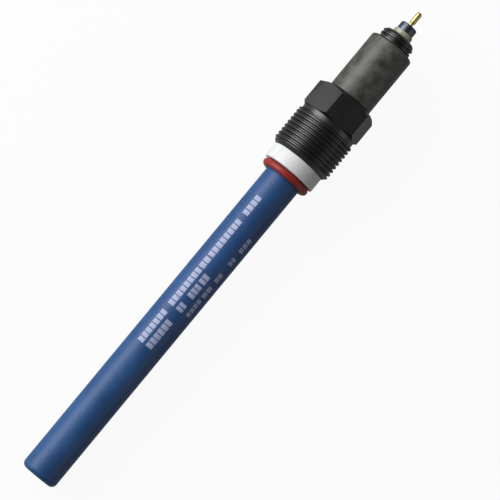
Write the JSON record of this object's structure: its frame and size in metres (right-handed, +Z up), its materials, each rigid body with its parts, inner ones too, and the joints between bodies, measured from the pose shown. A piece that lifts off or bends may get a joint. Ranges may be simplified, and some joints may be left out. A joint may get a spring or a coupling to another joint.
{
  "type": "fluoride ion-selective electrode",
  "caption": "Slim probe with a crystal in its tip, a sealing ring, thrust washer and loose screw gland on the shaft, and a head with a coaxial plug, for measuring fluoride in liquids.",
  "frame": {"origin": "on the bench, under the middle of the electrode's length and width as it lies", "axes": "+X along the electrode from the tip towards the pin, +Z up from the bench; the electrode's own axis rises 1.97 degrees from +X towards +Z, because the gland is wider than the shaft"},
  "size_m": [0.1808, 0.0214, 0.0208],
  "materials": {
    "blue_plastic": "satin",
    "black_plastic": "satin",
    "grey_plastic": "satin",
    "white_plastic": "satin",
    "cream_plastic": "satin",
    "natural_plastic": "matte",
    "red_rubber": "satin",
    "black_rubber": "matte",
    "plated_metal": "satin",
    "gold_plate": "polished",
    "crystal": "polished",
    "sealing_resin": "gloss",
    "gel": "gloss",
    "silver": "matte",
    "tinned_copper": "satin",
    "lead_plastic": "matte"
  },
  "bodies": {
    "electrode": {"shaft_tube": "blue_plastic", "crystal": "crystal", "crystal_seal": "sealing_resin", "chamber_sleeve": "natural_plastic", "reference_gel": "gel", "reference_wire": "silver", "chamber_plug": "natural_plastic", "plug_seal": "black_rubber", "wire_splice": "tinned_copper", "lead_core": "tinned_copper", "lead_insulation": "natural_plastic", "lead_shield": "tinned_copper", "lead_jacket": "lead_plastic", "shaft_potting": "sealing_resin", "o_ring": "red_rubber", "thrust_collar": "black_plastic", "head_body": "grey_plastic", "neck_insert": "black_plastic", "neck_insulator": "cream_plastic", "contact_ring": "plated_metal", "pin_sleeve": "natural_plastic", "contact_pin": "gold_plate", "shield_wire": "tinned_copper"},
    "gland": {"gland": "black_plastic"},
    "slip_ring": {"slip_ring": "white_plastic"}
  },
  "joints": [
    {"name": "gland_spin", "type": "hinge", "parent": "electrode", "child": "gland", "pos_m": [0.04409, 0, 0.01056], "axis": [0.9994, 0, 0.0344], "continuous": true},
    {"name": "slip_ring_spin", "type": "hinge", "parent": "electrode", "child": "slip_ring", "pos_m": [0.02965, 0, 0.01006], "axis": [0.9994, 0, 0.0344], "continuous": true}
  ]
}
